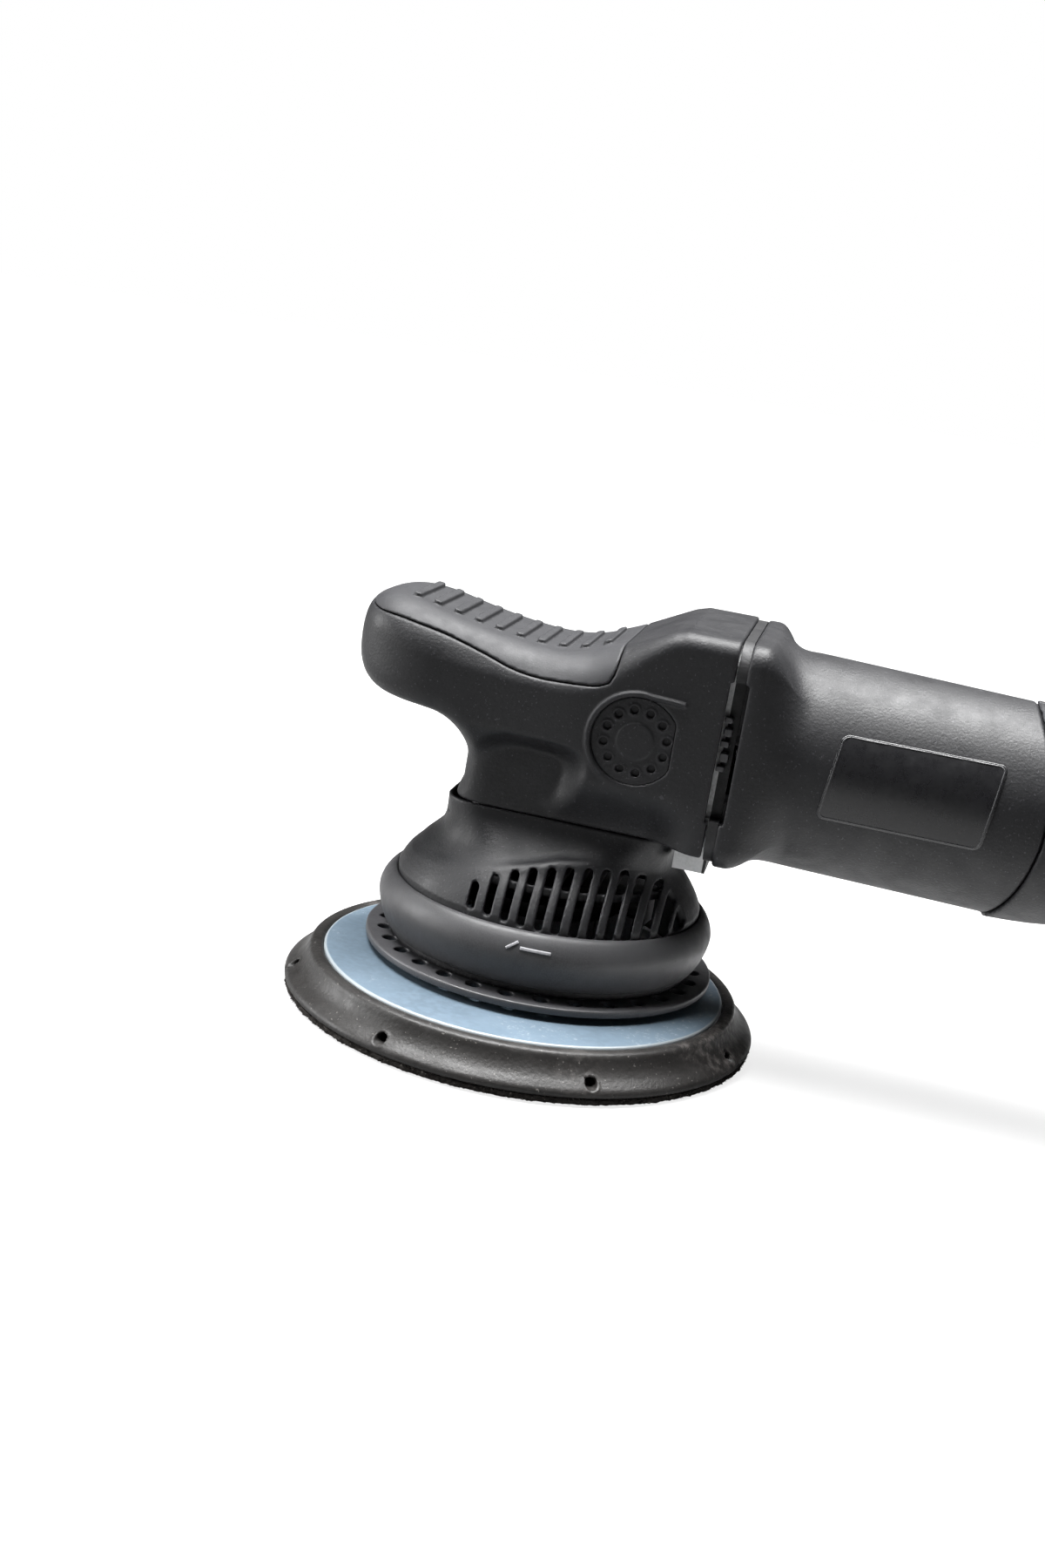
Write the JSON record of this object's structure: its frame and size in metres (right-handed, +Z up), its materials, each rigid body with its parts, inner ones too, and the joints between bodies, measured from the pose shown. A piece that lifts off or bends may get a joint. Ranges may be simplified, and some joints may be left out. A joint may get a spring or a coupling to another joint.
{
  "type": "dual action polisher",
  "caption": "Electric dual action polisher with a ribbed front grip over a geared head, a vented skirt, an orbiting free-spinning backing plate and an in-line rear handle.",
  "frame": {"origin": "on the output spindle's axis at the backing plate's hook face", "axes": "+X back along the motor towards the rear handle, +Z up along the spindle, +Y to the tool's right hand side"},
  "size_m": [0.4065, 0.15, 0.1314],
  "materials": {
    "hook": "dense nylon hook nap",
    "foam": "moulded polyurethane foam skin, worn",
    "disc": "glass filled translucent disc",
    "zinc": "cast, sand-blasted",
    "cast": "die cast, matt",
    "steel": "turned and ground",
    "lamination": "stacked steel sheet",
    "copper": "enamelled copper",
    "brass": "stamped",
    "carbon": "pressed carbon",
    "shell": "fine spark-eroded texture",
    "grip": "soft moulded grip, ribbed",
    "bumper": "satin rubber",
    "ring": "satin",
    "label": "printed film",
    "red": "satin",
    "board": "potted circuit board"
  },
  "bodies": {
    "housing": {"lower_bearing": "steel", "upper_bearing": "steel", "gear_case": "cast", "skirt": "shell", "bumper": "bumper", "vent_ring": "ring", "skirt_screws": "steel", "head_cover": "shell", "front_grip": "grip", "side_caps": "shell", "front_bearing": "steel", "rear_bearing": "steel", "fan_baffle": "shell", "stator_core": "lamination", "field_coils": "copper", "brush_holders": "brass", "brushes": "carbon", "brush_springs": "steel", "case_screws": "steel", "motor_housing": "shell", "label_left": "label", "label_right": "label", "handle_left": "shell", "handle_right": "shell", "handle_screws": "steel", "trigger_pin": "steel", "trigger_spring": "steel", "power_switch": "shell", "speed_module": "board", "cord_gland": "bumper"},
    "pad": {"hook_face": "hook", "plate_foam": "foam", "plate_disc": "disc", "plate_hub": "cast", "plate_washer": "steel", "plate_screw": "steel", "drive_plate": "steel", "drive_pins": "steel", "pad_spindle": "steel", "spindle_circlip": "steel"},
    "eccentric": {"pad_bearings": "steel", "eccentric_hub": "cast", "counterweight": "zinc", "counterweight_screws": "steel", "output_spindle": "steel", "crown_gear": "steel"},
    "armature": {"pinion": "steel", "motor_shaft": "steel", "fan": "shell", "armature_core": "lamination", "armature_windings": "copper", "commutator": "copper"},
    "trigger": {"trigger": "shell"},
    "plunger": {"switch_plunger": "red"},
    "lock_button": {"lock_button": "red", "lock_spring": "steel"},
    "speed_dial": {"speed_dial": "grip"}
  },
  "joints": [
    {"name": "output_spin", "type": "hinge", "parent": "housing", "child": "eccentric", "pos_m": [0, 0, 0.06], "axis": [0, 0, 1], "continuous": true},
    {"name": "armature_spin", "type": "hinge", "parent": "housing", "child": "armature", "pos_m": [0.09, 0, 0.0935], "axis": [1, 0, 0], "continuous": true},
    {"name": "pad_spin", "type": "hinge", "parent": "eccentric", "child": "pad", "pos_m": [-0.002, -0.01031, 0.03], "axis": [0, 0, 1], "continuous": true},
    {"name": "trigger_press", "type": "hinge", "parent": "housing", "child": "trigger", "pos_m": [0.172, 0, 0.069], "axis": [0, -1, 0], "range_deg": [0, 5.5], "stiffness_Nm_per_rad": 2, "springref_deg": -8.59},
    {"name": "plunger_slide", "type": "slide", "parent": "housing", "child": "plunger", "axis": [0, 0, 1], "range_m": [0, 0.0033]},
    {"name": "lock_press", "type": "slide", "parent": "housing", "child": "lock_button", "axis": [0, 1, 0], "range_m": [0, 0.0035], "stiffness_N_per_m": 600, "springref_m": -0.002},
    {"name": "speed_turn", "type": "hinge", "parent": "housing", "child": "speed_dial", "pos_m": [0.286, 0, 0.1126], "axis": [0, 1, 0], "range_deg": [0, 270]}
  ],
  "couplings": [
    {"joint": "armature_spin", "follows": "output_spin", "ratio": 3},
    {"joint": "plunger_slide", "follows": "trigger_press", "m_per_rad": 0.034}
  ]
}
